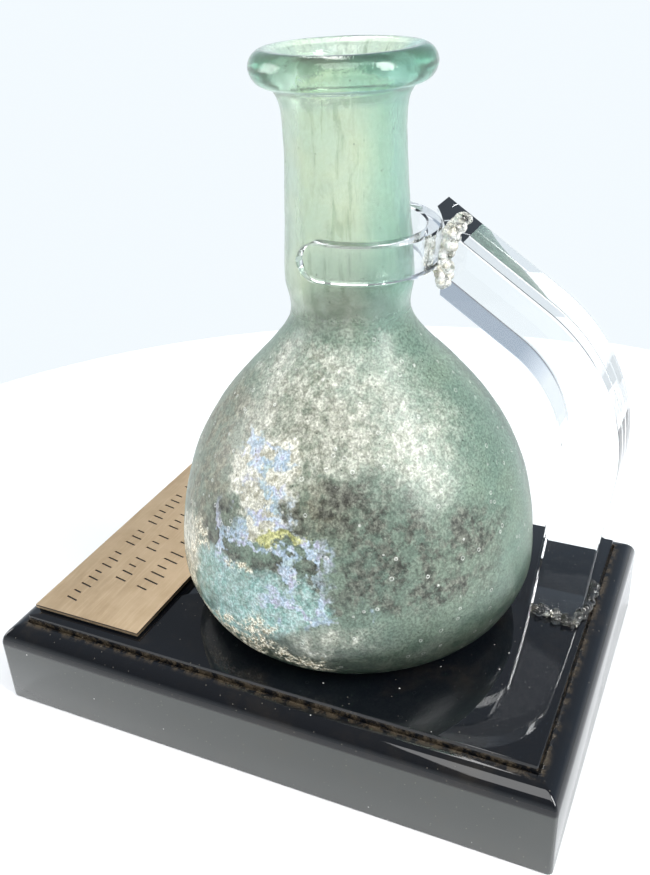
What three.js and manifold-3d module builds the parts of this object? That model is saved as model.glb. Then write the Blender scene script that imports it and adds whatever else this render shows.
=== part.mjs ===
// Round-bodied flask of weathered blue-green glass, held upright on its own small display stand.
// Millimetres, +Z up. Origin: centre of the underside of the stand's base.
// The reader of the plaque stands at -Y, the clear arm rises at +Y, and +X is the reader's right.
import * as THREE from 'three';
import { mergeVertices } from 'three/addons/utils/BufferGeometryUtils.js';
import Module from 'manifold-3d';

const wasm = await Module();
wasm.setup();

// Base block: straight sides, a rounded shoulder, a fine groove and a flat raised panel.
const baseSize = { x: 76.6, y: 112.0, height: 19.0 };
const baseCornerRadius = 0.8;
const shoulderWidth = 4.1;
const shoulderTop = 17.5;
const shoulderRise = 3.8;
const grooveWidth = 0.4;
const grooveDepth = 0.8;
const shoulderSteps = 6;

// Plaque: a thin plate on black tape near the -Y end of the panel.
const plaqueSize = { x: 63.4, y: 24.4, thickness: 0.8 };
const plaqueCentreY = -38.8;
const tapeThickness = 0.5;
const tapeInset = 0.35;
const restGap = 0.05;
const strokeDepth = 0.25;
const strokeWidth = 0.42;
const strokeSlant = THREE.MathUtils.degToRad(12);
const strokeRows = [
  { centreY: -33.3, height: 3.8, halfLength: 19.3, words: [4, 5, 6] },
  { centreY: -39.7, height: 2.9, halfLength: 18.4, words: [3, 4, 3, 4] },
  { centreY: -45.3, height: 2.8, halfLength: 27.4, words: [5, 6, 3, 8] },
];
const wordSpace = 1.6;

// Flask: its axis, and half sections as [radius, height above the base's panel].
const flaskAxis = { x: -0.3, y: 6.3 };
const flaskLift = 0.1;
const flaskFacets = 50;
const outerSteps = 34;
const rimSteps = 12;
const innerSteps = 18;
const outerSection = [
  [24.0, 0.0], [30.4, 2.9], [33.5, 8.6], [34.1, 15.0], [32.9, 24.4], [29.9, 33.4], [25.5, 41.0],
  [20.0, 47.8], [14.9, 53.2], [11.5, 57.6], [10.5, 61.2], [11.2, 65.6], [11.1, 70.2], [10.5, 78.0],
  [10.05, 88.0], [10.3, 94.4], [11.5, 97.3],
];
const rimSection = [
  [11.5, 97.3], [13.9, 98.2], [14.95, 100.3], [14.2, 102.3], [12.3, 103.1], [10.1, 102.0], [8.5, 99.4],
];
const innerSection = [
  [8.5, 99.4], [7.9, 95.0], [7.9, 86.0], [8.6, 74.0], [8.9, 66.0], [8.4, 61.2], [9.6, 57.2], [14.2, 50.9],
  [20.6, 44.0], [26.2, 36.0], [30.2, 26.4], [31.9, 16.0], [31.0, 9.0], [26.5, 4.6], [20.0, 3.3],
];
const innerFloorHeight = 4.0;
const undersideRise = 1.4;

// Yoke: a clear strip with round ends, bent into a C round the neck and open towards -Y.
const yoke = { innerRadius: 12.1, thickness: 2.7, height: 6.6, offsetY: 1.0, bottom: 69.4 };
const yokeEndAngle = THREE.MathUtils.degToRad(-16);
const yokeTilt = -0.055;
const yokeSegments = 44;
const yokeEndHeight = 0.25;

// Arm: a clear bar that leans out a little, bends over and ends against the yoke.
const arm = { frontX: -5.3, width: 11.9, thickness: 10.2, footY: 45.1, stem: 31.0, bendRadius: 28.0 };
const armFootHeading = THREE.MathUtils.degToRad(-6.5);
const armTopHeading = THREE.MathUtils.degToRad(55);
const armEndY = 18.6;
const armBendSteps = 14;
const jointGap = 0.3;

// Glue: a low bead round two sides of the arm's foot, and a lump where the arm meets the yoke.
const footGlue = { reachX: 5.4, reachY: 1.9, height: 1.7, bevel: 0.7 };
const yokeGlue = { x: -3.6, y: 22.6, height: 70.6, radiusX: 5.4, radiusY: 4.4, radiusZ: 6.4 };

const material = (color, roughness, metalness = 0, opacity = 1) =>
  new THREE.MeshStandardMaterial({ color, roughness, metalness, opacity, transparent: opacity < 1 });
const weatheredGlass = () => material(0x9db8a6, 0.25, 0, 0.8);
const clearAcrylic = () => material(0xe9eef0, 0.04, 0, 0.3);
const blackGloss = () => material(0x0b0d10, 0.08);
const satinBrass = () => material(0xb9986a, 0.38, 1);
const blackTape = () => material(0x08090a, 0.7);
const driedGlue = () => material(0xd8d4c4, 0.15, 0, 0.7);

function toSolid(geometry) {
  const bare = geometry.clone();
  bare.deleteAttribute('normal');
  bare.deleteAttribute('uv');
  const merged = mergeVertices(bare, 1e-4);
  const vertProperties = new Float32Array(merged.attributes.position.array);
  const triVerts = new Uint32Array(merged.index.array);
  return new wasm.Manifold(new wasm.Mesh({ numProp: 3, vertProperties, triVerts }));
}

function toGeometry(solid) {
  const mesh = solid.getMesh();
  const geometry = new THREE.BufferGeometry();
  geometry.setAttribute('position', new THREE.BufferAttribute(new Float32Array(mesh.vertProperties), 3));
  geometry.setIndex(new THREE.BufferAttribute(new Uint32Array(mesh.triVerts), 1));
  return geometry;
}

function named(name, geometry, surface) {
  const mesh = new THREE.Mesh(geometry, surface);
  mesh.name = name;
  return mesh;
}

function roundedRectangle(sizeX, sizeY, radius) {
  const x = sizeX / 2;
  const y = sizeY / 2;
  const shape = new THREE.Shape();
  shape.moveTo(-x + radius, -y);
  shape.lineTo(x - radius, -y);
  shape.absarc(x - radius, -y + radius, radius, -Math.PI / 2, 0, false);
  shape.lineTo(x, y - radius);
  shape.absarc(x - radius, y - radius, radius, 0, Math.PI / 2, false);
  shape.lineTo(-x + radius, y);
  shape.absarc(-x + radius, y - radius, radius, Math.PI / 2, Math.PI, false);
  shape.lineTo(-x, -y + radius);
  shape.absarc(-x + radius, -y + radius, radius, Math.PI, 1.5 * Math.PI, false);
  return shape;
}

function slab(sizeX, sizeY, bottom, top, radius) {
  const shape = roundedRectangle(sizeX, sizeY, radius);
  const geometry = new THREE.ExtrudeGeometry(shape, { depth: top - bottom, bevelEnabled: false, curveSegments: 4 });
  return toSolid(geometry.translate(0, 0, bottom));
}

function shoulderedSection(size) {
  const edge = size / 2;
  const turnX = edge - shoulderWidth;
  const turnZ = shoulderTop - shoulderRise;
  const shape = new THREE.Shape();
  shape.moveTo(-edge, 0);
  shape.lineTo(edge, 0);
  shape.absellipse(turnX, turnZ, shoulderWidth, shoulderRise, 0, Math.PI / 2, false, 0);
  shape.absellipse(-turnX, turnZ, shoulderWidth, shoulderRise, Math.PI / 2, Math.PI, false, 0);
  return shape;
}

function shoulderedBar(size, length) {
  const options = { depth: length, bevelEnabled: false, curveSegments: shoulderSteps };
  const bar = new THREE.ExtrudeGeometry(shoulderedSection(size), options);
  return bar.translate(0, 0, -length / 2).rotateX(Math.PI / 2);
}

function makeBase() {
  const across = toSolid(shoulderedBar(baseSize.x, baseSize.y + 2));
  const along = toSolid(shoulderedBar(baseSize.y, baseSize.x + 2).rotateZ(Math.PI / 2));
  const outline = slab(baseSize.x, baseSize.y, -1, baseSize.height, baseCornerRadius);
  const panelX = baseSize.x - 2 * (shoulderWidth + grooveWidth);
  const panelY = baseSize.y - 2 * (shoulderWidth + grooveWidth);
  const grooveFloor = shoulderTop - grooveDepth;
  const groove = slab(panelX + 2 * grooveWidth, panelY + 2 * grooveWidth, grooveFloor, baseSize.height, 0.5);
  const panel = slab(panelX, panelY, grooveFloor - 1, baseSize.height, 0.3);
  const block = across.intersect(along).intersect(outline).subtract(groove).add(panel);
  return named('stand_base', toGeometry(block), blackGloss());
}

const panelTop = baseSize.height;
const tapeBottom = panelTop + restGap;
const plaqueBottom = tapeBottom + tapeThickness + restGap;
const plaqueTop = plaqueBottom + plaqueSize.thickness;

function makeTape() {
  const size = [plaqueSize.x - 2 * tapeInset, plaqueSize.y - 2 * tapeInset, tapeThickness];
  const geometry = new THREE.BoxGeometry(...size);
  geometry.translate(0, plaqueCentreY, tapeBottom + tapeThickness / 2);
  return named('plaque_tape', geometry, blackTape());
}

function strokePlaces(row) {
  const count = row.words.reduce((sum, word) => sum + word, 0);
  const gaps = row.words.length - 1;
  const pitch = (2 * row.halfLength - gaps * wordSpace) / (count - 1);
  const places = [];
  let x = -row.halfLength;
  row.words.forEach((word) => {
    for (let index = 0; index < word; index += 1) {
      places.push({ x, full: (places.length * 5) % 3 !== 1 });
      x += pitch;
    }
    x += wordSpace;
  });
  return places;
}

function makePlaque() {
  const plate = new THREE.BoxGeometry(plaqueSize.x, plaqueSize.y, plaqueSize.thickness);
  plate.translate(0, plaqueCentreY, plaqueBottom + plaqueSize.thickness / 2);
  let solid = toSolid(plate);
  strokeRows.forEach((row) => {
    strokePlaces(row).forEach((place) => {
      const length = place.full ? row.height : row.height * 0.7;
      const cutter = new THREE.BoxGeometry(strokeWidth, length, 2 * strokeDepth);
      cutter.rotateZ(-strokeSlant);
      cutter.translate(place.x, row.centreY - (row.height - length) / 2, plaqueTop);
      solid = solid.subtract(toSolid(cutter));
    });
  });
  return named('plaque', toGeometry(solid), satinBrass());
}

function smoothSection(keys, steps) {
  const curve = new THREE.SplineCurve(keys.map(([radius, height]) => new THREE.Vector2(radius, height)));
  return curve.getSpacedPoints(steps);
}

function makeFlask() {
  const underside = [new THREE.Vector2(0, undersideRise), new THREE.Vector2(13, undersideRise * 0.6)];
  const outer = smoothSection(outerSection, outerSteps);
  const rim = smoothSection(rimSection, rimSteps).slice(1);
  const inner = smoothSection(innerSection, innerSteps).slice(1);
  const floor = [new THREE.Vector2(10, innerFloorHeight - 0.3), new THREE.Vector2(0, innerFloorHeight)];
  const foot = new THREE.Vector2(outerSection[0][0] - 3.5, 0);
  const section = [...underside, foot, ...outer, ...rim, ...inner, ...floor];
  const geometry = new THREE.LatheGeometry(section, flaskFacets);
  geometry.rotateX(Math.PI / 2);
  geometry.translate(flaskAxis.x, flaskAxis.y, panelTop + flaskLift);
  return named('glass_flask', toGeometry(toSolid(geometry)), weatheredGlass());
}

const yokeCentre = { x: flaskAxis.x, y: flaskAxis.y + yoke.offsetY };
const yokeOuterRadius = yoke.innerRadius + yoke.thickness;

function makeYoke() {
  const strip = new THREE.BoxGeometry(1, 1, 1, yokeSegments, 1, 1);
  const place = strip.attributes.position;
  const sweep = Math.PI - 2 * yokeEndAngle;
  const roundLength = yoke.height / 2 / (yoke.innerRadius + yoke.thickness / 2);
  for (let index = 0; index < place.count; index += 1) {
    const along = Math.sin(place.getX(index) * Math.PI) / 2;
    const angle = Math.PI / 2 + along * sweep;
    const fromEnd = Math.min(1, (0.5 - Math.abs(along)) * sweep / roundLength);
    const fullness = Math.max(yokeEndHeight, Math.sqrt(1 - (1 - fromEnd) ** 2));
    const radius = yoke.innerRadius + (0.5 + place.getZ(index)) * yoke.thickness;
    const height = place.getY(index) * yoke.height * fullness;
    place.setXYZ(index, radius * Math.cos(angle), radius * Math.sin(angle), height);
  }
  strip.rotateX(yokeTilt);
  strip.translate(yokeCentre.x, yokeCentre.y, panelTop + yoke.bottom + yoke.height / 2);
  return named('neck_yoke', toGeometry(toSolid(strip)), clearAcrylic());
}

const forward = (heading) => new THREE.Vector2(-Math.sin(heading), Math.cos(heading));
const outward = (heading) => new THREE.Vector2(Math.cos(heading), Math.sin(heading));

function armSection(thickness) {
  const foot = new THREE.Vector2(arm.footY, panelTop + jointGap);
  const half = thickness / 2;
  const footHalf = half / Math.cos(armFootHeading);
  const stemTop = foot.clone().addScaledVector(forward(armFootHeading), arm.stem);
  const centre = stemTop.clone().addScaledVector(outward(armFootHeading), -arm.bendRadius);
  const reachEnd = (radius) => {
    const start = centre.clone().addScaledVector(outward(armTopHeading), radius);
    const run = (start.x - armEndY) / Math.sin(armTopHeading);
    return start.addScaledVector(forward(armTopHeading), run);
  };
  const outerEnd = reachEnd(arm.bendRadius + half);
  const innerEnd = reachEnd(arm.bendRadius - half);
  const shape = new THREE.Shape();
  shape.moveTo(foot.x - footHalf, foot.y);
  shape.lineTo(foot.x + footHalf, foot.y);
  shape.absarc(centre.x, centre.y, arm.bendRadius + half, armFootHeading, armTopHeading, false);
  shape.lineTo(outerEnd.x, outerEnd.y);
  shape.lineTo(innerEnd.x, innerEnd.y);
  shape.absarc(centre.x, centre.y, arm.bendRadius - half, armTopHeading, armFootHeading, true);
  return shape;
}

function armBar(grow) {
  const depth = arm.width + 2 * grow;
  const shape = armSection(arm.thickness + 2 * grow);
  const options = { depth, bevelEnabled: false, curveSegments: armBendSteps };
  const geometry = new THREE.ExtrudeGeometry(shape, options);
  const toSideView = new THREE.Matrix4().makeBasis(
    new THREE.Vector3(0, 1, 0),
    new THREE.Vector3(0, 0, 1),
    new THREE.Vector3(1, 0, 0),
  );
  geometry.applyMatrix4(toSideView);
  geometry.translate(arm.frontX - arm.width - grow, 0, 0);
  return toSolid(geometry);
}

function yokeClearance() {
  const reach = yokeOuterRadius + jointGap + 0.25;
  const cylinder = new THREE.CylinderGeometry(reach, reach, 3 * yoke.height, 64);
  cylinder.rotateX(Math.PI / 2 + yokeTilt);
  cylinder.translate(yokeCentre.x, yokeCentre.y, panelTop + yoke.bottom + yoke.height / 2);
  return toSolid(cylinder);
}

function makeArm() {
  return named('stand_arm', toGeometry(armBar(0).subtract(yokeClearance())), clearAcrylic());
}

function makeFootGlue() {
  const innerY = arm.footY - arm.thickness / 2;
  const outerY = arm.footY + arm.thickness / 2 + footGlue.reachY;
  const backX = arm.frontX - arm.width;
  const frontX = arm.frontX + footGlue.reachX;
  const inset = footGlue.bevel;
  const shape = new THREE.Shape();
  shape.moveTo(frontX - inset, innerY + inset);
  shape.lineTo(frontX - inset, outerY - inset);
  shape.lineTo(backX + inset, outerY - inset);
  shape.lineTo(backX + inset, innerY + inset);
  const geometry = new THREE.ExtrudeGeometry(shape, {
    depth: footGlue.height - 2 * inset,
    bevelThickness: inset,
    bevelSize: inset,
    bevelSegments: 2,
  });
  geometry.translate(0, 0, panelTop + restGap + inset);
  const bead = toSolid(geometry).subtract(armBar(jointGap / 2));
  const parts = bead.decompose().sort((a, b) => b.volume() - a.volume());
  return named('foot_glue', toGeometry(parts[0]), driedGlue());
}

function makeYokeGlue() {
  const lump = new THREE.SphereGeometry(1, 20, 12);
  lump.scale(yokeGlue.radiusX, yokeGlue.radiusY, yokeGlue.radiusZ);
  lump.translate(yokeGlue.x, yokeGlue.y, panelTop + yokeGlue.height);
  const rest = toSolid(lump).subtract(armBar(jointGap / 2)).subtract(yokeClearance());
  const parts = rest.decompose().sort((a, b) => b.volume() - a.volume());
  return named('yoke_glue', toGeometry(parts[0]), driedGlue());
}

const model = new THREE.Group();
model.add(
  makeBase(),
  makeTape(),
  makePlaque(),
  makeFlask(),
  makeYoke(),
  makeArm(),
  makeFootGlue(),
  makeYokeGlue(),
);

export default model;
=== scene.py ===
import math

import bpy
import numpy as np
from mathutils import Matrix, Quaternion, Vector, noise


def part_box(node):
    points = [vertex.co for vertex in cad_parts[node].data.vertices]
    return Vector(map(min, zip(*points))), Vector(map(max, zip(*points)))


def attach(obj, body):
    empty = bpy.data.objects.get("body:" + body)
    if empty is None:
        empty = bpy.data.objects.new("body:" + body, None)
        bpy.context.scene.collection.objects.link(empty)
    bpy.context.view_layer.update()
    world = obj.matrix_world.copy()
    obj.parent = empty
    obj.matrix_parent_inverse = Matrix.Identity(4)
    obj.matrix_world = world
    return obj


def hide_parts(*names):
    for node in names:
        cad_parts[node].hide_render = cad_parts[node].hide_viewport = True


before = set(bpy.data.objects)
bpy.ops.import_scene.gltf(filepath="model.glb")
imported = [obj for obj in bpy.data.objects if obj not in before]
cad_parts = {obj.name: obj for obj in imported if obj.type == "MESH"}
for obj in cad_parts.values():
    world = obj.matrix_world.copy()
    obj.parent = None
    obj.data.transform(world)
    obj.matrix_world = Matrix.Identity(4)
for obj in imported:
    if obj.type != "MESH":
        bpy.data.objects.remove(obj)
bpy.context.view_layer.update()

MM = 0.001

# ---------------------------------------------------------------- sizes, in millimetres

flask_low, flask_high = [Vector(corner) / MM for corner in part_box("glass_flask")]
base_low, base_high = [Vector(corner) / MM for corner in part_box("stand_base")]
arm_low, arm_high = [Vector(corner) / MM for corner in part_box("stand_arm")]
plaque_high = Vector(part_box("plaque")[1]) / MM

PANEL_TOP = base_high.z
FLASK_X = (flask_low.x + flask_high.x) / 2
FLASK_Y = (flask_low.y + flask_high.y) / 2
FLASK_BOTTOM = flask_low.z

# Half sections of the flask: radius and height over its own bottom.
OUTER_SECTION = [
    (24.0, 0.0), (30.4, 2.9), (33.5, 8.6), (34.1, 15.0), (32.9, 24.4), (29.9, 33.4), (25.5, 41.0),
    (20.0, 47.8), (14.9, 53.2), (11.5, 57.6), (10.5, 61.2), (11.2, 65.6), (11.1, 70.2), (10.5, 78.0),
    (10.05, 88.0), (10.3, 94.4), (11.5, 97.3),
]
RIM_SECTION = [
    (11.5, 97.3), (13.9, 98.2), (14.95, 100.3), (14.2, 102.3), (12.3, 103.1), (10.1, 102.0), (8.5, 99.4),
]
INNER_SECTION = [
    (8.5, 99.4), (7.9, 95.0), (7.9, 86.0), (8.6, 74.0), (8.9, 66.0), (8.4, 61.2), (9.6, 57.2), (14.2, 50.9),
    (20.6, 44.0), (26.2, 36.0), (30.2, 26.4), (31.9, 16.0), (31.0, 9.0), (26.5, 4.6), (20.0, 3.3),
]
UNDERSIDE_RISE = 1.4
INNER_FLOOR = 4.0
FLASK_FACETS = 256
OUTER_RINGS = 190
RIM_RINGS = 34
RIM_RINGS_OUTSIDE = 20
INNER_RINGS = 84

SHOULDER_WIDTH = 4.1
SHOULDER_TOP = 17.5
SHOULDER_RISE = 3.8
GROOVE_FLOOR = 16.7
GROOVE_WIDTH = 0.4
SHOULDER_STEPS = 12
SIDE_TOP = SHOULDER_TOP - SHOULDER_RISE

YOKE_INNER = 12.1
YOKE_THICKNESS = 2.7
YOKE_HEIGHT = 6.6
YOKE_OFFSET_Y = 1.0
YOKE_BOTTOM = 69.4
YOKE_END = math.radians(-16)
YOKE_TILT = -0.055
YOKE_EDGE = 0.3
YOKE_GAP = 0.3
YOKE_STATIONS = 140
YOKE_OUTER = YOKE_INNER + YOKE_THICKNESS

ARM_THICKNESS = 10.2
ARM_STEM = 31.0
ARM_BEND = 28.0
ARM_BEND_STEPS = 128
ARM_FOOT_Y = 45.1
ARM_FOOT_HEADING = math.radians(-6.5)
ARM_TOP_HEADING = math.radians(55)
ARM_END_Y = 18.6
ARM_EDGE = 0.35
FOOT_RUN_ON = 4.0
END_RUN_ON = 12.0
FOOT_SINK = 0.05
SMEARED_LENGTH = 5.0

GLUE_LUMPS = 90
GLUE_VOXEL = 0.16

PATCH_WARP_SCALE = 15.0
FRAYING_SCALE = 7.0

# Where each kind of weathering lies on the flask, and one painted highlight: degrees round its axis,
# height over its bottom, half width, half height and softness of the edge.
WEATHERING_AND_PAINTED_HIGHLIGHT = {
    "soil": [
        (-42, 41, 15, 11, 0.5), (-40, 30, 11, 9, 0.5), (5, 36, 9, 7, 0.5), (10, 47, 9, 6, 0.6),
        (-25, 47, 10, 5, 0.6),
    ],
    # pale patina; the patch at 40 degrees, 44 mm up is a painted highlight
    "pale": [
        (-5, 46, 11, 7, 0.5), (-24, 54, 10, 4, 0.5), (10, 53, 13, 5, 0.6), (40, 44, 12, 9, 0.6),
        (12, 13, 8, 3, 0.6),
    ],
    "smoke": [
        (37, 30, 14, 7, 0.45), (18, 37, 6, 3.5, 0.4), (56, 28, 12, 6, 0.5), (42, 21, 13, 5, 0.6),
        (0, 33, 5, 5, 0.3), (32, 24, 10, 4, 0.5), (-24, 27, 6, 5, 0.35), (-6, 22, 4, 4, 0.3),
        (6, 25, 6, 3, 0.3), (14, 20, 4, 2.5, 0.3), (26, 34, 6, 4, 0.5),
    ],
    "turquoise": [(-12, 16, 10, 6, 0.3), (-26, 18, 8, 6, 0.4), (4, 20, 6, 4, 0.3), (-22, 10, 9, 3, 0.4)],
    "silver": [(-14, 37, 7, 5, 0.2), (-8, 33, 5, 3.5, 0.2), (-10, 42, 5, 3, 0.25), (-44, 20, 5, 6, 0.4)],
    "flaking": [
        (-8, 33, 5, 8, 0.2), (2, 27, 7, 4, 0.25), (4, 20, 8, 5, 0.3),
        (18, 18, 6, 3, 0.25), (-18, 26, 8, 5, 0.4), (-14, 42, 5, 3, 0.3),
    ],
    "crust": [
        (-46, 13, 5, 6, 0.3), (-28, 8, 8, 3, 0.3), (-8, 7, 8, 2.5, 0.3), (8, 7, 6, 2.5, 0.3),
        (-38, 24, 3, 4, 0.3), (-8, 12, 3, 3, 0.3), (-18, 12, 3, 2, 0.3), (-16, 22.5, 3, 2, 0.3),
    ],
    "olive": [(-1, 30.2, 3.2, 1.3, 0.3)],
}

CAMERA_AIM = (13.3, 6.6, 60.0)
CAMERA_AZIMUTH = math.radians(115.83)
CAMERA_ELEVATION = math.radians(28.6)
CAMERA_ROLL = math.radians(-2.81)
CAMERA_DISTANCE = 167.5
CAMERA_LENS = 39.58

# Each lamp: azimuth and elevation in degrees, width and height in metres, watts.
LAMPS = {
    "window": (80, 36, 0.28, 0.65, 9),
    "front_fill": (20, 60, 0.6, 0.6, 4.5),
    "left_fill": (-78, 20, 0.4, 0.5, 4),
    "back_strip": (-150, 58, 0.12, 0.6, 2),
}
LAMP_DISTANCE = 0.9
LAMP_TARGET_HEIGHT = 55.0

TABLE_CENTRE = (8.7, 7.6)
TABLE_RADIUS = 196.0
TABLE_THICKNESS = 12.0
TABLE_FACETS = 160
TABLE_DROP = 0.02


# ---------------------------------------------------------------- mesh helpers

def catmull_rom(keys, count):
    """Points evenly spaced along a smooth curve through keys."""
    points = [Vector(key) for key in keys]
    padded = [2 * points[0] - points[1], *points, 2 * points[-1] - points[-2]]
    dense = []
    steps = 24
    for a, b, c, d in zip(padded, padded[1:], padded[2:], padded[3:]):
        for step in range(steps):
            t = step / steps
            dense.append(0.5 * (2 * b + (c - a) * t + (2 * a - 5 * b + 4 * c - d) * t * t
                                + (3 * b - 3 * c + d - a) * t ** 3))
    dense.append(points[-1])
    reach = [0.0]
    for a, b in zip(dense, dense[1:]):
        reach.append(reach[-1] + (b - a).length)
    spaced = np.linspace(0, reach[-1], count)
    table = np.array([tuple(point) for point in dense])
    return [tuple(np.interp(s, reach, table[:, axis]) for axis in range(table.shape[1])) for s in spaced]


def make_piece(name, vertices_mm, faces, surface, smooth=True):
    """An object whose mesh is given in millimetres."""
    mesh = bpy.data.meshes.new(name)
    mesh.from_pydata([tuple(v * MM for v in vertex) for vertex in vertices_mm], [], faces)
    mesh.update()
    piece = bpy.data.objects.new(name, mesh)
    bpy.context.scene.collection.objects.link(piece)
    mesh.materials.append(surface)
    if smooth:
        mesh.polygons.foreach_set("use_smooth", [True] * len(mesh.polygons))
    return piece


def loop_faces(rings, around):
    """Quads between rings of vertices, each ring closed on itself."""
    faces = []
    for ring in range(rings - 1):
        low = ring * around
        high = low + around
        for step in range(around):
            following = (step + 1) % around
            faces.append((low + step, low + following, high + following, high + step))
    return faces


def sharpen(piece, degrees):
    """Edges sharper than the angle stay crisp under smooth shading."""
    mesh = piece.data
    mesh.polygons.foreach_set("use_smooth", [True] * len(mesh.polygons))
    limit = math.radians(degrees)
    faces_at = {}
    for polygon in mesh.polygons:
        for key in polygon.edge_keys:
            faces_at.setdefault(key, []).append(polygon.normal.copy())
    sharp = [False] * len(mesh.edges)
    for index, edge in enumerate(mesh.edges):
        normals = faces_at.get(edge.key, [])
        if len(normals) == 2 and normals[0].angle(normals[1], 0) > limit:
            sharp[index] = True
    attribute = mesh.attributes.new("sharp_edge", "BOOLEAN", "EDGE")
    attribute.data.foreach_set("value", sharp)


# ---------------------------------------------------------------- material helpers

def set_stops(colour_ramp, stops):
    """Colours at their positions along a ramp."""
    while len(colour_ramp.elements) < len(stops):
        colour_ramp.elements.new(0.5)
    for element, (position, colour) in zip(colour_ramp.elements, stops):
        element.position = position
        element.color = (*colour, 1.0)


class Surface:
    """A procedural material on object coordinates, in millimetres, built node by node."""

    def __init__(self, name):
        self.material = bpy.data.materials.new(name)
        self.material.use_nodes = True
        self.tree = self.material.node_tree
        self.shader = self.tree.nodes["Principled BSDF"]
        coordinates = self.tree.nodes.new("ShaderNodeTexCoord")
        self.place = self.vector("SCALE", coordinates.outputs["Object"], scale=1 / MM)

    def node(self, kind, **settings):
        made = self.tree.nodes.new(kind)
        for key, value in settings.items():
            setattr(made, key, value)
        return made

    def feed(self, socket, value):
        if isinstance(value, bpy.types.NodeSocket):
            self.tree.links.new(value, socket)
        else:
            socket.default_value = value

    def set(self, **inputs):
        for key, value in inputs.items():
            self.feed(self.shader.inputs[key.replace("_", " ")], value)

    def vector(self, operation, a, b=None, scale=None):
        made = self.node("ShaderNodeVectorMath", operation=operation)
        self.feed(made.inputs[0], a)
        if b is not None:
            self.feed(made.inputs[1], b)
        if scale is not None:
            self.feed(made.inputs["Scale"], scale)
        return made.outputs["Value" if operation in ("LENGTH", "DOT_PRODUCT") else "Vector"]

    def math(self, operation, a, b=0.0, clamp=False):
        made = self.node("ShaderNodeMath", operation=operation, use_clamp=clamp)
        self.feed(made.inputs[0], a)
        self.feed(made.inputs[1], b)
        return made.outputs[0]

    def stretched(self, x, y, z):
        return self.vector("MULTIPLY", self.place, (x, y, z))

    def axes(self):
        split = self.node("ShaderNodeSeparateXYZ")
        self.feed(split.inputs[0], self.place)
        return split.outputs

    def noise(self, size, detail=4.0, roughness=0.55, place=None, colour=False):
        """Soft random pattern whose features are about size millimetres across."""
        made = self.node("ShaderNodeTexNoise")
        self.feed(made.inputs["Vector"], place or self.place)
        made.inputs["Scale"].default_value = 1 / size
        made.inputs["Detail"].default_value = detail
        made.inputs["Roughness"].default_value = roughness
        return made.outputs["Color" if colour else "Fac"]

    def cells(self, size, output="Distance"):
        """Distance to the nearest of many strewn points about size millimetres apart, or a tint for each."""
        made = self.node("ShaderNodeTexVoronoi")
        self.feed(made.inputs["Vector"], self.place)
        made.inputs["Scale"].default_value = 1 / size
        return made.outputs[output]

    def ramp(self, value, low, high, start=0.0, end=1.0):
        """0 at low and 1 at high, unless start and end say otherwise."""
        made = self.node("ShaderNodeMapRange", interpolation_type="SMOOTHSTEP")
        self.feed(made.inputs["Value"], value)
        made.inputs["From Min"].default_value = low
        made.inputs["From Max"].default_value = high
        made.inputs["To Min"].default_value = start
        made.inputs["To Max"].default_value = end
        return made.outputs["Result"]

    def fall(self, value, low, high):
        """1 at low and 0 at high."""
        return self.ramp(value, low, high, 1.0, 0.0)

    def mix(self, amount, a, b):
        made = self.node("ShaderNodeMix", data_type="RGBA")
        self.feed(made.inputs[0], amount)
        for socket, value in ((made.inputs[6], a), (made.inputs[7], b)):
            self.feed(socket, value if isinstance(value, bpy.types.NodeSocket) else (*value, 1.0))
        return made.outputs[2]

    def blend(self, amount, a, b):
        made = self.node("ShaderNodeMix", data_type="FLOAT")
        self.feed(made.inputs[0], amount)
        self.feed(made.inputs[2], a)
        self.feed(made.inputs[3], b)
        return made.outputs[0]

    def bands(self, value, stops):
        """A colour ramp from (position, colour) stops."""
        made = self.node("ShaderNodeValToRGB")
        self.feed(made.inputs[0], value)
        set_stops(made.color_ramp, stops)
        return made.outputs[0]

    def bump(self, height, strength, depth_mm, after=None):
        made = self.node("ShaderNodeBump")
        made.inputs["Strength"].default_value = strength
        made.inputs["Distance"].default_value = depth_mm * MM
        self.feed(made.inputs["Height"], height)
        if after is not None:
            self.feed(made.inputs["Normal"], after)
        return made.outputs["Normal"]

    def absorb(self, colour, density):
        made = self.node("ShaderNodeVolumeAbsorption")
        made.inputs["Color"].default_value = (*colour, 1.0)
        made.inputs["Density"].default_value = density
        output = self.tree.nodes["Material Output"]
        self.tree.links.new(made.outputs["Volume"], output.inputs["Volume"])


def on_flask(degrees, height):
    """A place on the flask's outside, from its angle about the axis and its height over the panel."""
    heights = [point[1] for point in OUTER_SECTION]
    radii = [point[0] for point in OUTER_SECTION]
    radius = float(np.interp(height, heights, radii))
    turn = math.radians(degrees)
    return (FLASK_X + radius * math.cos(turn), FLASK_Y + radius * math.sin(turn), FLASK_BOTTOM + height)


# ---------------------------------------------------------------- materials

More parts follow.
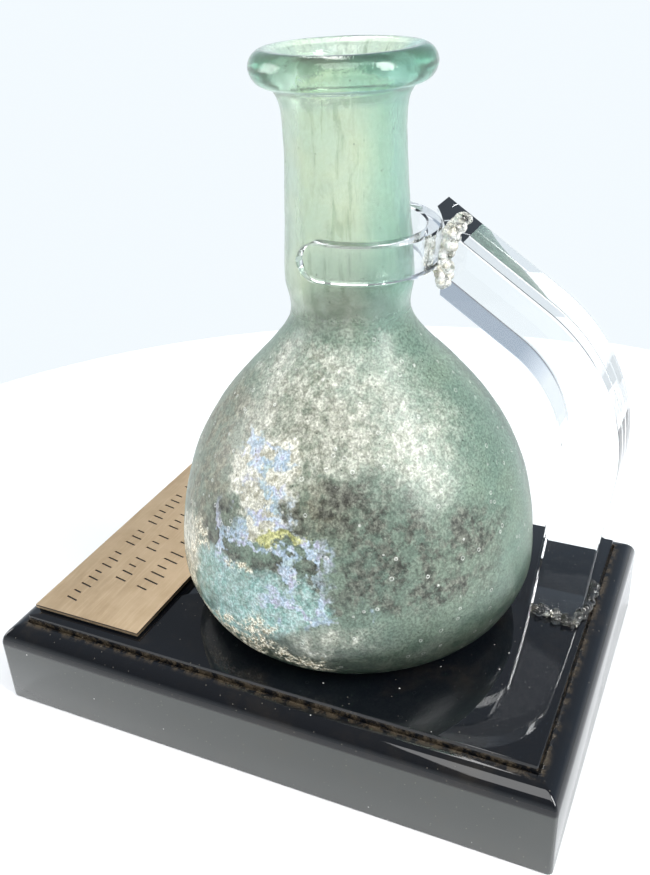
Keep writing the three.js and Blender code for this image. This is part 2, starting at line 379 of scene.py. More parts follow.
class FlaskFinish:
    """The flask's weathering and one painted highlight, laid on in patches placed by angle and height."""

    def __init__(self, surface):
        self.s = s = surface
        wavy = s.vector("SUBTRACT", s.noise(9, 3, colour=True), (0.5, 0.5, 0.5))
        wavy = s.vector("SCALE", wavy, scale=PATCH_WARP_SCALE)
        frayed = s.vector("SUBTRACT", s.noise(2.4, 5, 0.7, colour=True), (0.5, 0.5, 0.5))
        frayed = s.vector("SCALE", frayed, scale=FRAYING_SCALE)
        self.warped = s.vector("ADD", s.vector("ADD", s.place, wavy), frayed)
        self.level = s.axes()["Z"]
        inner = s.node("ShaderNodeAttribute", attribute_name="inner_wall")
        self.inner = inner.outputs["Fac"]

    def patch(self, degrees, height, across, up, feather):
        """1 inside one ragged patch and 0 outside it."""
        s = self.s
        offset = s.vector("SUBTRACT", self.warped, on_flask(degrees, height))
        sized = s.vector("MULTIPLY", offset, (1 / across, 1 / across, 1 / up))
        return s.fall(s.vector("LENGTH", sized), 1 - feather, 1 + feather)

    def patches(self, kind):
        total = None
        for place in WEATHERING_AND_PAINTED_HIGHLIGHT[kind]:
            mask = self.patch(*place)
            total = mask if total is None else self.s.math("MAXIMUM", total, mask)
        return total

    def above(self, height, feather):
        return self.s.ramp(self.level, FLASK_BOTTOM + height - feather, FLASK_BOTTOM + height + feather)


def weathered_glass():
    s = Surface("weathered_glass")
    f = FlaskFinish(s)
    grain = s.noise(0.42, 2, 0.6)
    fine = s.noise(1.3, 5, 0.7)
    mottle = s.noise(3.6, 6, 0.72)
    drift = s.noise(13.0, 3, 0.6)
    streaks = s.noise(0.9, 3, 0.6, place=s.stretched(0.8, 0.8, 0.08))
    on_neck = f.above(61, 4)
    on_rim = f.above(97.5, 0.8)
    low = s.math("SUBTRACT", 1.0, f.above(13, 7))

    # the thin green film that clouds the glass, darker low down and pale on the neck
    film = s.mix(s.ramp(drift, 0.35, 0.65), (0.21, 0.32, 0.25), (0.27, 0.37, 0.28))
    film = s.mix(low, film, s.mix(s.ramp(mottle, 0.4, 0.6), (0.06, 0.10, 0.07), (0.15, 0.19, 0.14)))
    neck_colour = s.mix(s.ramp(s.noise(7, 4, 0.6), 0.35, 0.70), (0.86, 0.92, 0.80), (0.93, 0.94, 0.76))
    neck_colour = s.mix(s.math("MULTIPLY", s.ramp(streaks, 0.54, 0.66), 0.55), neck_colour, (0.42, 0.50, 0.36))
    neck_foot = s.fall(f.level, FLASK_BOTTOM + 62, FLASK_BOTTOM + 70)
    neck_foot = s.math("MULTIPLY", neck_foot, s.ramp(mottle, 0.40, 0.62))
    neck_colour = s.mix(neck_foot, neck_colour, (0.50, 0.58, 0.42))
    # painted shade: the neck's side towards +Y is tinted a deeper teal, for the darker edge the glass shows
    # there
    from_axis = s.vector("SUBTRACT", s.place, (FLASK_X, FLASK_Y, 0.0))
    across = s.vector("DOT_PRODUCT", from_axis, (0.17, 0.98, 0.0))
    neck_colour = s.mix(s.math("MULTIPLY", s.ramp(across, 5.5, 10.0), 0.8), neck_colour, (0.45, 0.72, 0.62))
    colour = s.mix(on_neck, film, neck_colour)
    cover = s.blend(on_neck, s.blend(low, 0.56, 0.28), 0.20)
    cover = s.blend(on_rim, cover, 0.06)

    def lay(where, strength, dark, light, texture, colour, cover):
        """One layer more: where it lies, how much it hides, its darker and lighter colour."""
        tone = s.mix(texture, dark, light)
        return s.mix(where, colour, tone), s.blend(where, cover, strength)

    coarse_grain = s.ramp(grain, 0.38, 0.62)
    fine_grain = s.ramp(fine, 0.36, 0.64)
    broken = s.ramp(mottle, 0.40, 0.58)
    soil = s.math("MULTIPLY", f.patches("soil"), s.blend(broken, 0.55, 0.95))
    colour, cover = lay(soil, 0.85,
                        (0.13, 0.125, 0.085), (0.32, 0.31, 0.225), fine_grain, colour, cover)
    # pale patina, and at 40 degrees, 44 mm up a painted highlight
    pale = s.math("MULTIPLY", f.patches("pale"), s.blend(broken, 0.40, 0.88))
    colour, cover = lay(pale, 0.9,
                        (0.28, 0.29, 0.23), (0.66, 0.67, 0.58), fine_grain, colour, cover)
    smoke = s.math("MULTIPLY", f.patches("smoke"), s.blend(broken, 0.45, 0.96))
    colour, cover = lay(smoke, 0.93,
                        (0.022, 0.022, 0.016), (0.17, 0.18, 0.145), s.ramp(fine, 0.38, 0.66), colour, cover)
    turquoise = s.math("MULTIPLY", f.patches("turquoise"), s.blend(broken, 0.6, 1.0))
    colour, cover = lay(turquoise, 0.8,
                        (0.25, 0.46, 0.42), (0.52, 0.68, 0.66), fine_grain, colour, cover)
    colour, cover = lay(f.patches("silver"), 0.96,
                        (0.36, 0.35, 0.27), (0.74, 0.74, 0.65), fine_grain, colour, cover)

    # flaking layers leave ragged pale blue and lilac edges
    ridge = s.math("ABSOLUTE", s.math("SUBTRACT", s.noise(7.5, 4, 0.62), 0.5))
    torn = s.math("MULTIPLY", f.patches("flaking"), s.fall(ridge, 0.015, 0.055))
    sheen = s.bands(s.noise(3.0, 3, 0.6), [
        (0.32, (0.40, 0.50, 0.50)), (0.44, (0.32, 0.42, 0.52)), (0.52, (0.50, 0.58, 0.66)),
        (0.60, (0.42, 0.42, 0.55)), (0.72, (0.62, 0.68, 0.62))])
    colour = s.mix(torn, colour, sheen)
    cover = s.blend(torn, cover, 0.95)

    crust = s.math("MULTIPLY", f.patches("crust"), s.ramp(fine, 0.40, 0.56))
    colour, cover = lay(crust, 1.0,
                        (0.42, 0.36, 0.23), (0.84, 0.80, 0.66), coarse_grain, colour, cover)
    colour, cover = lay(f.patches("olive"), 1.0,
                        (0.26, 0.27, 0.09), (0.62, 0.62, 0.30), fine_grain, colour, cover)

    # small burst bubbles as pale rings, and dark pits
    bubble = s.cells(2.1)
    chosen = s.ramp(s.cells(2.1, "Color"), 0.56, 0.60)
    ring = s.math("SUBTRACT", s.fall(bubble, 0.17, 0.21), s.fall(bubble, 0.10, 0.14))
    body = s.math("SUBTRACT", 1.0, on_neck)
    rings = s.math("MULTIPLY", s.math("MULTIPLY", ring, chosen), s.math("MULTIPLY", body, 0.55))
    colour = s.mix(rings, colour, (0.80, 0.82, 0.76))
    chosen_pit = s.ramp(s.cells(1.5, "Color"), 0.52, 0.56)
    pit = s.math("MULTIPLY", s.fall(s.cells(1.5), 0.07, 0.13), chosen_pit)
    colour = s.mix(s.math("MULTIPLY", pit, 0.8), colour, (0.05, 0.07, 0.05))
    lively = s.blend(on_neck, s.blend(coarse_grain, 0.74, 1.18), s.blend(coarse_grain, 0.93, 1.05))
    tint = s.vector("SCALE", colour, scale=lively)

    outer_cover = s.math("MULTIPLY", cover, s.blend(coarse_grain, 0.92, 1.06))
    opaque = s.blend(f.inner, outer_cover, s.blend(on_neck, 0.30, 0.05))
    clear = s.math("SUBTRACT", 1.0, opaque, clamp=True)
    raised = s.math("MULTIPLY", s.fall(bubble, 0.08, 0.22), 0.35)
    height = s.math("ADD", s.math("MULTIPLY", grain, 0.45), raised)
    rough_skin = s.bump(height, 0.45, 0.14)
    normal = s.bump(s.noise(2.6, 4, 0.6), 0.35, 0.25, after=rough_skin)
    rough = s.blend(on_rim, s.blend(on_neck, s.blend(cover, 0.24, 0.44), 0.20), 0.07)
    s.set(Base_Color=tint, Transmission_Weight=clear, Roughness=rough, Normal=normal, IOR=1.5)
    s.absorb((0.42, 0.80, 0.72), 62.0)
    return s.material


def black_gloss():
    s = Surface("black_gloss")
    axes = s.axes()
    level = axes["Z"]
    speck = s.math("MULTIPLY", s.fall(s.cells(3.1), 0.035, 0.06), s.ramp(s.cells(3.1, "Color"), 0.50, 0.55))
    grit = s.math("MULTIPLY", s.fall(s.cells(0.9), 0.10, 0.16), s.ramp(s.cells(0.9, "Color"), 0.72, 0.76))

    # dust lies in the groove round the panel, and a little of it everywhere
    from_side_x = s.math("SUBTRACT", base_high.x, s.math("ABSOLUTE", axes["X"]))
    from_side_y = s.math("SUBTRACT", base_high.y, s.math("ABSOLUTE", axes["Y"]))
    inset = s.math("MINIMUM", from_side_x, from_side_y)
    inside_shoulder = s.ramp(inset, SHOULDER_WIDTH - 1.5, SHOULDER_WIDTH)
    below_panel = s.fall(level, PANEL_TOP - 0.9, PANEL_TOP - 0.3)
    in_groove = s.math("MULTIPLY", s.math("MULTIPLY", inside_shoulder, below_panel), 0.55)
    groove_dust = s.math("MULTIPLY", in_groove, s.ramp(s.noise(2.0, 4, 0.7), 0.40, 0.62))
    thin_dust = s.math("MULTIPLY", s.ramp(s.noise(11, 6, 0.7), 0.48, 0.75), 0.10)
    dusty = s.math("MAXIMUM", thin_dust, groove_dust)
    # the side faces are rougher than the top and painted a lighter olive grey: a painted reflection of the
    # white table
    sides = s.fall(level, SIDE_TOP - 0.3, SIDE_TOP + 0.3)
    colour = s.mix(sides, (0.0035, 0.0045, 0.0065), (0.060, 0.065, 0.062))
    colour = s.mix(dusty, colour, (0.10, 0.075, 0.045))
    colour = s.mix(s.math("MULTIPLY", grit, 0.35), colour, (0.25, 0.23, 0.19))
    colour = s.mix(speck, colour, (0.55, 0.55, 0.52))
    scratch = s.ramp(s.noise(0.4, 1, 0.5, place=s.stretched(1.0, 0.04, 1.0)), 0.68, 0.74)
    rough = s.math("ADD", s.math("MULTIPLY", scratch, 0.08), s.math("MULTIPLY", dusty, 0.5))
    rough = s.math("ADD", rough, s.blend(sides, 0.03, 0.10))
    s.set(Base_Color=colour, Roughness=rough, IOR=1.5)
    return s.material


def clear_acrylic():
    s = Surface("clear_acrylic")
    wear = s.ramp(s.noise(5, 5, 0.7), 0.55, 0.95)
    s.set(Base_Color=(0.965, 0.985, 0.99, 1.0), Transmission_Weight=1.0, IOR=1.49,
          Roughness=s.math("MULTIPLY", wear, 0.03))
    return s.material


def satin_brass():
    s = Surface("satin_brass")
    brushed = s.noise(0.5, 3, 0.6, place=s.stretched(0.06, 1.0, 1.0))
    tarnish = s.noise(7, 4, 0.6)
    level = s.axes()["Z"]
    metal = s.mix(s.ramp(tarnish, 0.3, 0.75), (0.58, 0.43, 0.27), (0.50, 0.36, 0.215))
    metal = s.mix(s.math("MULTIPLY", s.ramp(brushed, 0.45, 0.7), 0.25), metal, (0.74, 0.60, 0.42))
    inside = s.math("MULTIPLY", s.fall(level, plaque_high.z - 0.14, plaque_high.z - 0.06),
                    s.ramp(level, plaque_high.z - 0.45, plaque_high.z - 0.30))
    s.set(Base_Color=s.mix(inside, metal, (0.02, 0.018, 0.02)), Metallic=s.blend(inside, 0.85, 0.0),
          Roughness=s.blend(s.ramp(brushed, 0.3, 0.7), 0.36, 0.46), Normal=s.bump(brushed, 0.12, 0.03))
    return s.material


def black_tape():
    s = Surface("black_tape")
    s.set(Base_Color=s.mix(s.noise(0.8), (0.004, 0.004, 0.004), (0.02, 0.02, 0.02)), Roughness=0.7)
    return s.material


def dried_glue(name, clear, milky, yellowed, rough=0.08):
    """Hot glue, clear to cloudy: clear is 1 where none of it is cloudy."""
    s = Surface(name)
    tint = s.mix(s.ramp(s.noise(1.6, 3), 0.40, 0.62), milky, yellowed)
    cloudy = s.math("MULTIPLY", s.ramp(s.noise(1.1, 4, 0.65), 0.42, 0.66), 1 - clear)
    see_through = s.math("SUBTRACT", 1.0, cloudy, clamp=True)
    s.set(Base_Color=tint, Transmission_Weight=see_through, IOR=1.47, Roughness=rough,
          Normal=s.bump(s.noise(0.7, 3), 0.4, 0.2))
    return s.material


# ---------------------------------------------------------------- pieces that follow a rule

class Rule:
    """A Geometry Nodes tree with named sizes, whose result is kept as a plain mesh."""

    def __init__(self, name):
        self.tree = bpy.data.node_groups.new(name, "GeometryNodeTree")
        self.tree.interface.new_socket("Geometry", in_out="INPUT", socket_type="NodeSocketGeometry")
        self.tree.interface.new_socket("Geometry", in_out="OUTPUT", socket_type="NodeSocketGeometry")
        self.given = self.tree.nodes.new("NodeGroupInput")
        self.result = self.tree.nodes.new("NodeGroupOutput")
        self.settings = {}

    def named(self, label, value, kind="NodeSocketFloat"):
        socket = self.tree.interface.new_socket(label, in_out="INPUT", socket_type=kind)
        self.settings[socket.identifier] = value
        return self.given.outputs[label]

    def node(self, kind, links=None, **settings):
        made = self.tree.nodes.new(kind)
        for key, value in settings.items():
            setattr(made, key, value)
        for key, value in (links or {}).items():
            if isinstance(value, bpy.types.NodeSocket):
                self.tree.links.new(value, made.inputs[key])
            else:
                made.inputs[key].default_value = value
        return made

    def finish(self, geometry, surface):
        whole = self.node("GeometryNodeRealizeInstances", {"Geometry": geometry})
        painted = self.node("GeometryNodeSetMaterial", {
            "Geometry": whole.outputs["Geometry"],
            "Material": self.named("Finish", surface, "NodeSocketMaterial")})
        self.tree.links.new(painted.outputs["Geometry"], self.result.inputs["Geometry"])

    def build(self, name, guide_mm, edges):
        guide = bpy.data.meshes.new(name + "_guide")
        guide.from_pydata([tuple(v * MM for v in vertex) for vertex in guide_mm], edges, [])
        piece = bpy.data.objects.new(name, guide)
        bpy.context.scene.collection.objects.link(piece)
        modifier = piece.modifiers.new("rule", "NODES")
        modifier.node_group = self.tree
        for identifier, value in self.settings.items():
            modifier[identifier] = value
        depsgraph = bpy.context.evaluated_depsgraph_get()
        mesh = bpy.data.meshes.new_from_object(piece.evaluated_get(depsgraph), depsgraph=depsgraph)
        piece.modifiers.remove(modifier)
        piece.data = mesh
        mesh.name = name
        return piece


# ---------------------------------------------------------------- flask

def flask_section():
    """The whole half section, and how many of its points lie outside."""
    underside = [
        (0.0, UNDERSIDE_RISE), (6.0, UNDERSIDE_RISE * 0.9), (13.0, UNDERSIDE_RISE * 0.6),
        (18.0, 0.3), (20.5, 0.0),
    ]
    outer = catmull_rom(OUTER_SECTION, OUTER_RINGS)
    rim = catmull_rom(RIM_SECTION, RIM_RINGS)[1:]
    inner = catmull_rom(INNER_SECTION, INNER_RINGS)[1:]
    floor = [(14.0, 3.5), (8.0, 3.9), (0.0, INNER_FLOOR)]
    return underside + outer + rim + inner + floor, len(underside) + OUTER_RINGS + RIM_RINGS_OUTSIDE


def uneven(point, outside, level):
    """How far the surface strays from its smooth form, in millimetres."""
    slow = noise.noise(point / 16) * 0.22
    rippled = noise.noise(point / 5 + Vector((7, 0, 0))) * 0.07
    worn = noise.noise(point / 1.8 + Vector((0, 9, 0))) * 0.04
    fade = min(1.0, max(0.0, (level - 1.0) / 3)) * (0.4 if level > 96 else 1.0)
    return (slow + rippled + worn) * fade * (1.0 if outside else 0.6)


def mark_inner_wall(piece, first_inner):
    """The worn outside and the cleaner inside are told apart by an attribute."""
    inner = piece.data.attributes.new("inner_wall", "FLOAT", "POINT")
    count = len(piece.data.vertices)
    inner.data.foreach_set("value", [1.0 if index >= first_inner else 0.0 for index in range(count)])


def make_flask(surface):
    section, outside_count = flask_section()
    vertices = []
    for index, (radius, level) in enumerate(section[1:-1], 1):
        for step in range(FLASK_FACETS):
            turn = 2 * math.pi * step / FLASK_FACETS
            point = Vector((radius * math.cos(turn), radius * math.sin(turn), level))
            stray = uneven(point, index < outside_count, level) if radius > 1 else 0.0
            out = radius + stray
            top = min(FLASK_BOTTOM + level, flask_high.z)
            vertices.append((FLASK_X + out * math.cos(turn), FLASK_Y + out * math.sin(turn), top))
    rings = len(section) - 2
    faces = loop_faces(rings, FLASK_FACETS)
    bottom = len(vertices)
    vertices.append((FLASK_X, FLASK_Y, FLASK_BOTTOM + section[0][1]))
    vertices.append((FLASK_X, FLASK_Y, FLASK_BOTTOM + section[-1][1]))
    last = (rings - 1) * FLASK_FACETS
    for step in range(FLASK_FACETS):
        following = (step + 1) % FLASK_FACETS
        faces.append((bottom, following, step))
        faces.append((bottom + 1, last + step, last + following))
    piece = make_piece("flask", vertices, faces, surface)
    mark_inner_wall(piece, outside_count * FLASK_FACETS)
    return piece


# ---------------------------------------------------------------- base

def base_outline(inset, level, corner):
    """One closed rectangle of the block, its corners slightly rounded."""
    half_x = base_high.x - inset
    half_y = base_high.y - inset
    steps = 5
    ring = []
    for quarter, (sign_x, sign_y) in enumerate(((1, 1), (-1, 1), (-1, -1), (1, -1))):
        for step in range(steps):
            turn = math.pi / 2 * (quarter + step / (steps - 1))
            x = sign_x * (half_x - corner) + corner * math.cos(turn)
            y = sign_y * (half_y - corner) + corner * math.sin(turn)
            ring.append((x, y, level))
    return ring


def make_base(surface):
    rings = [base_outline(0.5, 0.0, 0.5), base_outline(0.12, 0.12, 0.7), base_outline(0.0, 0.5, 0.8)]
    for step in range(SHOULDER_STEPS + 1):
        turn = math.pi / 2 * step / SHOULDER_STEPS
        inset = SHOULDER_WIDTH * (1 - math.cos(turn))
        level = SIDE_TOP + SHOULDER_RISE * math.sin(turn)
        rings.append(base_outline(inset, level, 0.8 - 0.4 * step / SHOULDER_STEPS))
    inner = SHOULDER_WIDTH + GROOVE_WIDTH
    rings.append(base_outline(SHOULDER_WIDTH + 0.06, SHOULDER_TOP - 0.08, 0.4))
    rings.append(base_outline(SHOULDER_WIDTH + 0.08, GROOVE_FLOOR, 0.4))
    rings.append(base_outline(inner, GROOVE_FLOOR, 0.3))
    rings.append(base_outline(inner, PANEL_TOP - 0.18, 0.3))
    rings.append(base_outline(inner + 0.05, PANEL_TOP - 0.05, 0.3))
    rings.append(base_outline(inner + 0.18, PANEL_TOP, 0.3))
    around = len(rings[0])
    vertices = [vertex for ring in rings for vertex in ring]
    faces = loop_faces(len(rings), around)
    top = (len(rings) - 1) * around
    faces.append(tuple(reversed(range(around))))
    faces.append(tuple(range(top, top + around)))
    piece = make_piece("base_block", vertices, faces, surface)
    sharpen(piece, 40)
    return piece


# ---------------------------------------------------------------- arm

def yoke_centre():
    return Vector((FLASK_X, FLASK_Y + YOKE_OFFSET_Y, PANEL_TOP + YOKE_BOTTOM + YOKE_HEIGHT / 2))


def ahead(heading):
    return Vector((-math.sin(heading), math.cos(heading)))


def outward(heading):
    return Vector((math.cos(heading), math.sin(heading)))


def arm_path():
    """The bar's centre line in its own plane, run on past both of its cut ends."""
    foot = Vector((ARM_FOOT_Y, arm_low.z))
    stem_top = foot + ahead(ARM_FOOT_HEADING) * ARM_STEM
    centre = stem_top - outward(ARM_FOOT_HEADING) * ARM_BEND
    path = [foot - ahead(ARM_FOOT_HEADING) * FOOT_RUN_ON]
    for step in range(ARM_BEND_STEPS + 1):
        heading = ARM_FOOT_HEADING + (ARM_TOP_HEADING - ARM_FOOT_HEADING) * step / ARM_BEND_STEPS
        path.append(centre + outward(heading) * ARM_BEND)
    run = (path[-1].x - ARM_END_Y) / math.sin(ARM_TOP_HEADING)
    path.append(path[-1] + ahead(ARM_TOP_HEADING) * (run + END_RUN_ON))
    return path


def smear_sawn_end(piece, smear):
    """The sawn end at the yoke is coated with glue."""
    piece.data.materials.append(smear)
    reach = (ARM_END_Y + SMEARED_LENGTH) * MM
    for polygon in piece.data.polygons:
        if polygon.normal.y < -0.1 and polygon.normal.z > -0.4 and polygon.center.y < reach:
            polygon.material_index = 1


def make_arm(surface, smear):
    rule = Rule("bent_bar")
    line = rule.node("GeometryNodeMeshToCurve", {"Mesh": rule.given.outputs["Geometry"]})
    section = rule.node("GeometryNodeCurvePrimitiveQuadrilateral", {
        "Width": rule.named("Bar width", (arm_high.x - arm_low.x) * MM),
        "Height": rule.named("Bar thickness", ARM_THICKNESS * MM)})
    rounded = rule.node("GeometryNodeFilletCurve", {
        "Curve": section.outputs["Curve"], "Count": 3,
        "Radius": rule.named("Edge radius", ARM_EDGE * MM)}, mode="POLY")
    bar = rule.node("GeometryNodeCurveToMesh", {
        "Curve": line.outputs["Curve"], "Profile Curve": rounded.outputs["Curve"], "Fill Caps": True})
    reach = 200.0
    block = rule.node("GeometryNodeMeshCube", {"Size": (reach * MM, reach * MM, reach * MM)})
    kept_side = rule.node("GeometryNodeTransform", {
        "Geometry": block.outputs["Mesh"],
        "Translation": (0.0, (ARM_END_Y + reach / 2) * MM, (PANEL_TOP - FOOT_SINK + reach / 2) * MM)})
    cut = rule.node("GeometryNodeMeshBoolean", operation="INTERSECT")
    rule.tree.links.new(bar.outputs["Mesh"], cut.inputs["Mesh 2"])
    rule.tree.links.new(kept_side.outputs["Geometry"], cut.inputs["Mesh 2"])
    clearance = rule.node("GeometryNodeMeshCylinder", {
        "Vertices": 128, "Radius": rule.named("Yoke clearance", (YOKE_OUTER + YOKE_GAP) * MM),
        "Depth": 3 * YOKE_HEIGHT * MM})
    round_yoke = rule.node("GeometryNodeTransform", {
        "Geometry": clearance.outputs["Mesh"], "Rotation": (YOKE_TILT, 0.0, 0.0),
        "Translation": tuple(yoke_centre() * MM)})
    fitted = rule.node("GeometryNodeMeshBoolean", {"Mesh 1": cut.outputs["Mesh"]}, operation="DIFFERENCE")
    rule.tree.links.new(round_yoke.outputs["Geometry"], fitted.inputs["Mesh 2"])
    rule.finish(fitted.outputs["Mesh"], surface)
    middle = (arm_high.x + arm_low.x) / 2
    path = [(middle, point.x, point.y) for point in arm_path()]
    piece = rule.build("acrylic_arm", path, [(step, step + 1) for step in range(len(path) - 1)])
    sharpen(piece, 8)
    smear_sawn_end(piece, smear)
    return piece


# ---------------------------------------------------------------- yoke

def make_yoke(surface):
    sweep = math.pi - 2 * YOKE_END
    middle = YOKE_INNER + YOKE_THICKNESS / 2
    round_length = YOKE_HEIGHT / 2 / middle
    tilt = Matrix.Rotation(YOKE_TILT, 3, "X")
    centre = yoke_centre()
    vertices = []
    for station in range(YOKE_STATIONS + 1):
        along = math.sin((station / YOKE_STATIONS - 0.5) * math.pi) / 2
        turn = math.pi / 2 + along * sweep
        from_end = min(1.0, (0.5 - abs(along)) * sweep / round_length)
        half = YOKE_HEIGHT / 2 * max(0.12, math.sqrt(1 - (1 - from_end) ** 2))
        edge = min(YOKE_EDGE, half * 0.4)
        ring = [
            (YOKE_OUTER, half - edge), (YOKE_OUTER - edge, half), (YOKE_INNER + edge, half),
            (YOKE_INNER, half - edge), (YOKE_INNER, -half + edge), (YOKE_INNER + edge, -half),
            (YOKE_OUTER - edge, -half), (YOKE_OUTER, -half + edge),
        ]
        for radius, height in ring:
            point = Vector((radius * math.cos(turn), radius * math.sin(turn), height))
            vertices.append(tuple(centre + tilt @ point))
    around = len(ring)
    faces = [tuple(reversed(face)) for face in loop_faces(YOKE_STATIONS + 1, around)]
    last = YOKE_STATIONS * around
    faces.append(tuple(range(around)))
    faces.append(tuple(reversed(range(last, last + around))))
    piece = make_piece("clear_yoke", vertices, faces, surface)
    sharpen(piece, 20)
    return piece


# ---------------------------------------------------------------- glue

def make_glue(name, path, smallest, largest, spread, seed, surface):
    """Lumps dropped along a path and run together into one blob."""
    rule = Rule(name + "_lumps")
    line = rule.node("GeometryNodeMeshToCurve", {"Mesh": rule.given.outputs["Geometry"]})
    along = rule.node("GeometryNodeCurveToPoints", {
        "Curve": line.outputs["Curve"], "Count": rule.named("Lumps", GLUE_LUMPS, "NodeSocketInt")})
    sown = rule.named("Seed", seed, "NodeSocketInt")
    strewn = rule.node("FunctionNodeRandomValue", {"Seed": sown}, data_type="FLOAT_VECTOR")
    strewn.inputs[0].default_value = tuple(-v * MM for v in spread)
    strewn.inputs[1].default_value = tuple(v * MM for v in spread)
    moved = rule.node("GeometryNodeSetPosition", {
        "Geometry": along.outputs["Points"], "Offset": strewn.outputs[0]})
    ball = rule.node("GeometryNodeMeshIcoSphere", {"Radius": 1.0, "Subdivisions": 2})
    sized = rule.node("FunctionNodeRandomValue", {"Seed": sown}, data_type="FLOAT")
    rule.tree.links.new(rule.named("Smallest lump", smallest * MM), sized.inputs[2])
    rule.tree.links.new(rule.named("Largest lump", largest * MM), sized.inputs[3])
    dropped = rule.node("GeometryNodeInstanceOnPoints", {
        "Points": moved.outputs["Geometry"], "Instance": ball.outputs["Mesh"], "Scale": sized.outputs[1]})
    solid = rule.node("GeometryNodeRealizeInstances", {"Geometry": dropped.outputs["Instances"]})
    run = rule.node("GeometryNodeMeshToVolume", {
        "Mesh": solid.outputs["Geometry"], "Interior Band Width": 2.0 * MM, "Density": 1.0,
        "Voxel Size": GLUE_VOXEL * MM}, resolution_mode="VOXEL_SIZE")
    skin = rule.node("GeometryNodeVolumeToMesh", {
        "Volume": run.outputs["Volume"], "Threshold": 0.12}, resolution_mode="GRID")
    rule.finish(skin.outputs["Mesh"], surface)
    piece = rule.build(name, path, [(step, step + 1) for step in range(len(path) - 1)])
    piece.data.polygons.foreach_set("use_smooth", [True] * len(piece.data.polygons))
    return piece


def make_foot_glue(surface):
    front = arm_high.x
    level = PANEL_TOP + 0.55
    path = [
        (front + 0.6, 41.2, level), (front + 1.6, 44.0, level), (front + 2.0, 47.0, level),
        (front + 2.4, 49.8, level), (front - 3.0, 50.9, level), (front - 10.5, 50.9, level),
    ]
    return make_glue("foot_glue_lumps", path, 0.40, 1.15, (1.1, 0.6, 0.25), 4, surface)


def make_yoke_glue(surface):
    path = [
        (-7.2, 24.2, 94.6), (-4.8, 23.4, 92.9), (-3.0, 22.8, 90.2), (-2.2, 22.5, 87.2), (-2.6, 22.7, 85.0),
    ]
    return make_glue("yoke_glue_lumps", path, 0.7, 1.45, (1.1, 0.8, 0.4), 7, surface)


# ---------------------------------------------------------------- camera, light, stage

def make_camera():
    level = math.cos(CAMERA_ELEVATION)
    forward = Vector((
        -math.sin(CAMERA_AZIMUTH) * level, math.cos(CAMERA_AZIMUTH) * level, -math.sin(CAMERA_ELEVATION)))
    camera = bpy.data.objects.new("camera", bpy.data.cameras.new("camera"))
    camera.data.lens = CAMERA_LENS
    camera.data.clip_start = 0.01
    camera.location = Vector(CAMERA_AIM) * MM - forward * (CAMERA_DISTANCE * MM)
    facing = forward.to_track_quat("-Z", "Y")
    camera.rotation_mode = "QUATERNION"
    camera.rotation_quaternion = facing @ Quaternion((0, 0, 1), CAMERA_ROLL)
    bpy.context.scene.collection.objects.link(camera)
    bpy.context.scene.camera = camera


def soft_light(name, azimuth, elevation, width, height, power):
    """A rectangular lamp that faces the flask from a direction given in degrees."""
    az = math.radians(azimuth)
    el = math.radians(elevation)
    direction = Vector((math.cos(az) * math.cos(el), math.sin(az) * math.cos(el), math.sin(el)))
    lamp = bpy.data.lights.new(name, "AREA")
    lamp.shape = "RECTANGLE"
    lamp.size = width
    lamp.size_y = height
    lamp.energy = power
    target = Vector((FLASK_X, FLASK_Y, LAMP_TARGET_HEIGHT)) * MM
    light = bpy.data.objects.new(name, lamp)
    light.location = target + direction * LAMP_DISTANCE
    light.rotation_mode = "QUATERNION"
    light.rotation_quaternion = (-direction).to_track_quat("-Z", "Y")
    bpy.context.scene.collection.objects.link(light)


def make_world():
    """A pale backdrop all round below eye level, a dimmer room above, darkest towards the front."""
    world = bpy.data.worlds.new("studio")
    bpy.context.scene.world = world
    world.use_nodes = True
    nodes = world.node_tree.nodes
    links = world.node_tree.links
    background = nodes["Background"]
    coordinates = nodes.new("ShaderNodeTexCoord")
    split = nodes.new("ShaderNodeSeparateXYZ")
    links.new(coordinates.outputs["Generated"], split.inputs[0])

    def shade(stops):
        ramp = nodes.new("ShaderNodeValToRGB")
        links.new(split.outputs["Z"], ramp.inputs[0])
        set_stops(ramp.color_ramp, stops)
        return ramp.outputs[0]

    behind = shade([
        (0.0, (0.90, 0.96, 1.00)), (0.10, (0.74, 0.82, 0.92)),
        (0.30, (0.40, 0.48, 0.58)), (1.0, (0.30, 0.31, 0.33))])
    front = shade([
        (0.0, (0.90, 0.96, 1.00)), (0.16, (0.60, 0.64, 0.68)),
        (0.36, (0.20, 0.205, 0.215)), (1.0, (0.30, 0.30, 0.31))])
    side = nodes.new("ShaderNodeMapRange")
    side.inputs["From Min"].default_value = -0.3
    side.inputs["From Max"].default_value = 0.5
    links.new(split.outputs["X"], side.inputs["Value"])
    both = nodes.new("ShaderNodeMix")
    both.data_type = "RGBA"
    links.new(side.outputs["Result"], both.inputs[0])
    links.new(behind, both.inputs[6])
    links.new(front, both.inputs[7])
    links.new(both.outputs[2], background.inputs["Color"])
    background.inputs["Strength"].default_value = 1.0


def plain_white(name, colour, roughness):
    material = bpy.data.materials.new(name)
    material.use_nodes = True
    shader = material.node_tree.nodes["Principled BSDF"]
    shader.inputs["Base Color"].default_value = (*colour, 1.0)
    shader.inputs["Roughness"].default_value = roughness
    return material


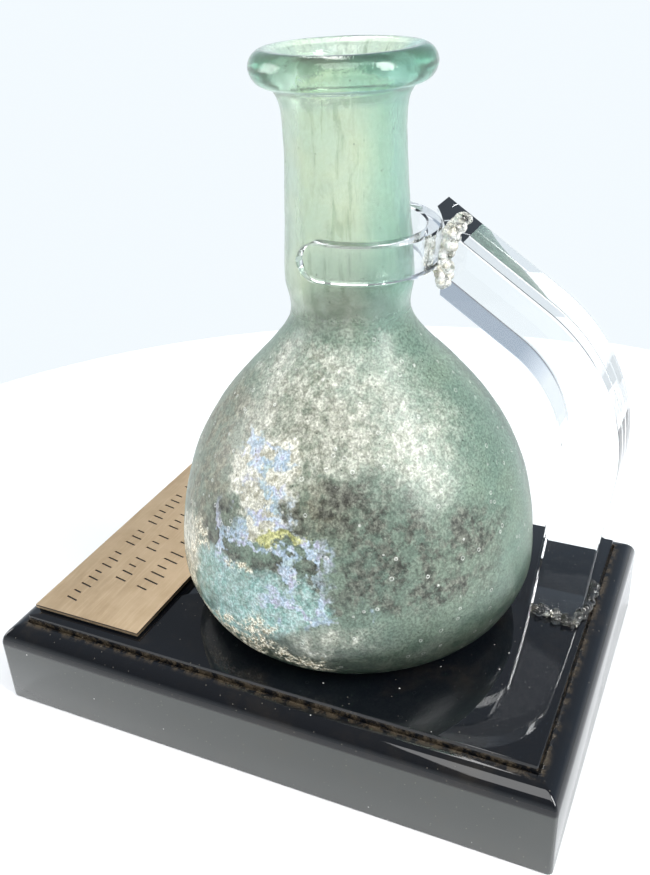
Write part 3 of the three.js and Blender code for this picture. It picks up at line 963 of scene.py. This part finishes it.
def make_table():
    edge = 1.0
    rings = [
        (TABLE_RADIUS - edge, -TABLE_THICKNESS), (TABLE_RADIUS, edge - TABLE_THICKNESS),
        (TABLE_RADIUS, -edge), (TABLE_RADIUS - edge, 0.0),
    ]
    vertices = []
    for size, level in rings:
        for step in range(TABLE_FACETS):
            turn = 2 * math.pi * step / TABLE_FACETS
            x = TABLE_CENTRE[0] + size * math.cos(turn)
            y = TABLE_CENTRE[1] + size * math.sin(turn)
            vertices.append((x, y, level - TABLE_DROP))
    faces = loop_faces(len(rings), TABLE_FACETS)
    faces.append(tuple(reversed(range(TABLE_FACETS))))
    last = (len(rings) - 1) * TABLE_FACETS
    faces.append(tuple(range(last, last + TABLE_FACETS)))
    white = plain_white("white_table", (0.90, 0.91, 0.92), 0.35)
    table = make_piece("round_table", vertices, faces, white, smooth=False)


# ---------------------------------------------------------------- assembly

def dress(piece, slot, *nodes):
    """A piece rides on the one body and stands for its solids."""
    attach(piece, "root")
    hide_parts(*nodes)


def repaint(node, surface):
    for material_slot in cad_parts[node].material_slots:
        material_slot.link = "OBJECT"
        material_slot.material = surface


make_camera()
make_world()
make_table()
for lamp_name, lamp_values in LAMPS.items():
    soft_light(lamp_name, *lamp_values)

acrylic = clear_acrylic()
dress(make_flask(weathered_glass()), "weathered_glass", "glass_flask")
dress(make_base(black_gloss()), "black_gloss", "stand_base")
smear = dried_glue("glue_smear", 1.0, (0.97, 0.97, 0.95), (0.92, 0.92, 0.88), rough=0.6)
yoke_glue_finish = dried_glue("yoke_glue_finish", 0.10, (0.88, 0.89, 0.86), (0.74, 0.71, 0.60))
foot_glue_finish = dried_glue("foot_glue_finish", 0.96, (0.90, 0.90, 0.86), (0.80, 0.74, 0.58))
dress(make_arm(acrylic, smear), "clear_acrylic", "stand_arm")
dress(make_yoke(acrylic), "clear_acrylic", "neck_yoke")
dress(make_foot_glue(foot_glue_finish), "dried_glue", "foot_glue")
dress(make_yoke_glue(yoke_glue_finish), "dried_glue", "yoke_glue")
repaint("plaque", satin_brass())
repaint("plaque_tape", black_tape())

bpy.context.scene.view_settings.view_transform = "Standard"
